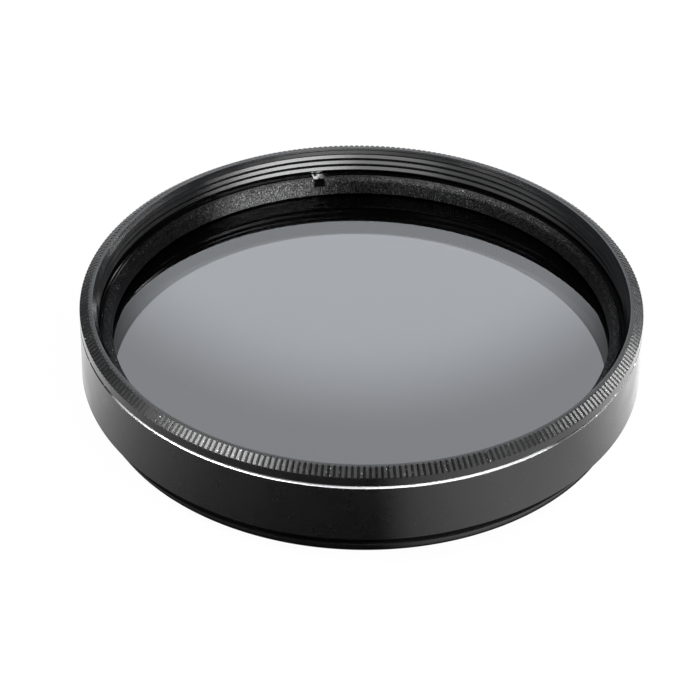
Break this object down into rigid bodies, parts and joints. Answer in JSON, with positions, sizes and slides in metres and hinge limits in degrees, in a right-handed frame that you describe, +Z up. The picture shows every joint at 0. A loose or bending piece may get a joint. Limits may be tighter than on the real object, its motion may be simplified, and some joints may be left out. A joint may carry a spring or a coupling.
{
  "type": "telescope moon filter",
  "caption": "Round black telescope filter cell with a knurled bevelled rim, male and female filter threads, and a grey glass disc under a notched retaining ring; it dims the view of the Moon.",
  "frame": {"origin": "centre of the male thread's end face, which the filter stands on", "axes": "+Z up along the optical axis, out of the female thread's mouth; +X right and -Y towards the viewer in the picture"},
  "size_m": [0.05, 0.05, 0.0096],
  "materials": {
    "cell_black": "satin black anodised",
    "grey_glass": "polished neutral grey",
    "ring_black": "matte black anodised"
  },
  "bodies": {
    "root": {"filter_cell": "cell_black", "filter_glass": "grey_glass", "retaining_ring": "ring_black"}
  },
  "joints": []
}
